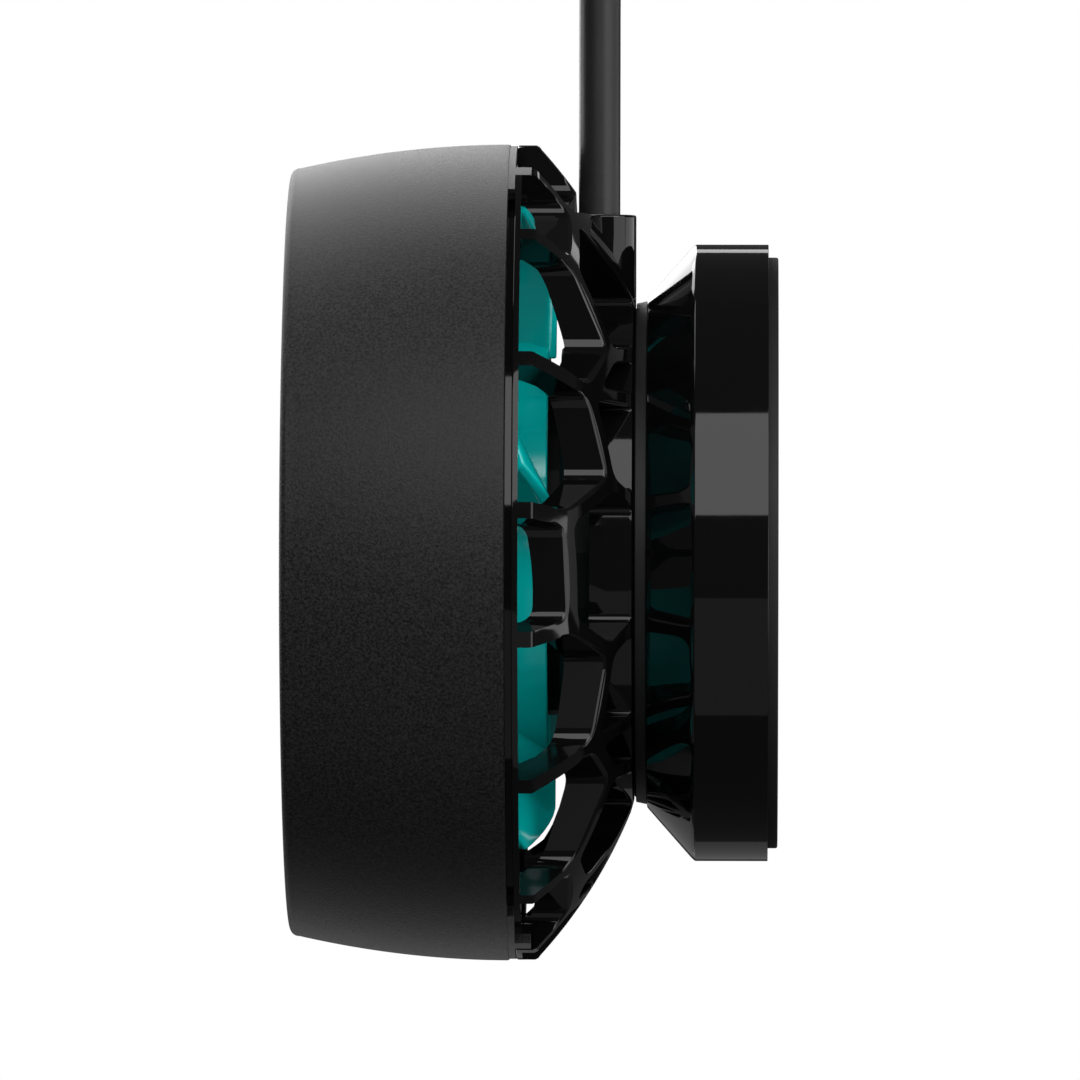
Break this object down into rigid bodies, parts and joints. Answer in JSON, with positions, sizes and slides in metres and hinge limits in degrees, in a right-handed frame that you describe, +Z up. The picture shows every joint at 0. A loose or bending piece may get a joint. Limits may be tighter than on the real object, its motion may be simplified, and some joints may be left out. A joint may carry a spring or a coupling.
{
  "type": "aquarium wave maker pump",
  "caption": "Aquarium wave maker pump: open cage, propeller and front shroud on a round magnet base, with a coiled cable and connector.",
  "frame": {"origin": "centre of the rubber pad's outer face, where it lies on the glass", "axes": "+X along the pump's axis into the glass, the water leaves towards -X, +Z up along the cable, +Y to the right seen from the glass's dry side with +Z up"},
  "size_m": [0.0644, 0.1389, 0.2316],
  "materials": {
    "matte_black": "matt, fine spark-eroded grain",
    "gloss_black": "high gloss",
    "satin_black": "satin",
    "teal_plastic": "satin gloss",
    "rubber": "soft, matt",
    "cable_rubber": "satin",
    "magnet_nickel": "nickel plated, satin",
    "steel": "stainless, brushed",
    "copper": "enamelled wire",
    "ceramic": "ground ceramic",
    "strap": "woven hook-and-loop"
  },
  "bodies": {
    "base": {"base_shell": "gloss_black", "back_plate": "satin_black", "base_screw_1": "steel", "base_screw_2": "steel", "base_screw_3": "steel", "base_magnet": "magnet_nickel", "magnet_yoke": "steel", "glass_pad": "rubber", "neck_disc": "satin_black"},
    "head": {"cage": "gloss_black", "motor_case": "satin_black", "motor_cover": "satin_black", "cover_seal": "rubber", "cover_screw_1": "steel", "cover_screw_2": "steel", "cover_screw_3": "steel", "stator_core": "steel", "stator_coil_1": "copper", "stator_coil_2": "copper", "stator_coil_3": "copper", "stator_coil_4": "copper", "stator_coil_5": "copper", "stator_coil_6": "copper", "shaft": "ceramic", "cable_root": "cable_rubber", "pivot_screw": "steel", "pivot_washer": "steel", "cable": "cable_rubber", "cable_coil": "cable_rubber", "cable_tail": "cable_rubber", "cable_tie": "strap", "connector_body": "satin_black", "connector_nut": "satin_black"},
    "rotor": {"propeller": "teal_plastic", "rotor_magnet": "magnet_nickel", "rear_bush": "ceramic", "front_bush": "ceramic", "rear_thrust_washer": "ceramic", "front_thrust_washer": "ceramic"},
    "shroud": {"front_shroud": "matte_black", "front_guard": "satin_black", "front_bearing": "ceramic"}
  },
  "joints": [
    {"name": "head_swivel", "type": "hinge", "parent": "base", "child": "head", "pos_m": [0, 0, 0], "axis": [1, 0, 0], "range_deg": [-90, 90]},
    {"name": "propeller_spin", "type": "hinge", "parent": "head", "child": "rotor", "pos_m": [-0.04, 0, 0], "axis": [1, 0, 0], "continuous": true},
    {"name": "shroud_twist", "type": "hinge", "parent": "head", "child": "shroud", "pos_m": [-0.05, 0, 0], "axis": [-1, 0, 0], "range_deg": [0, 12]}
  ]
}
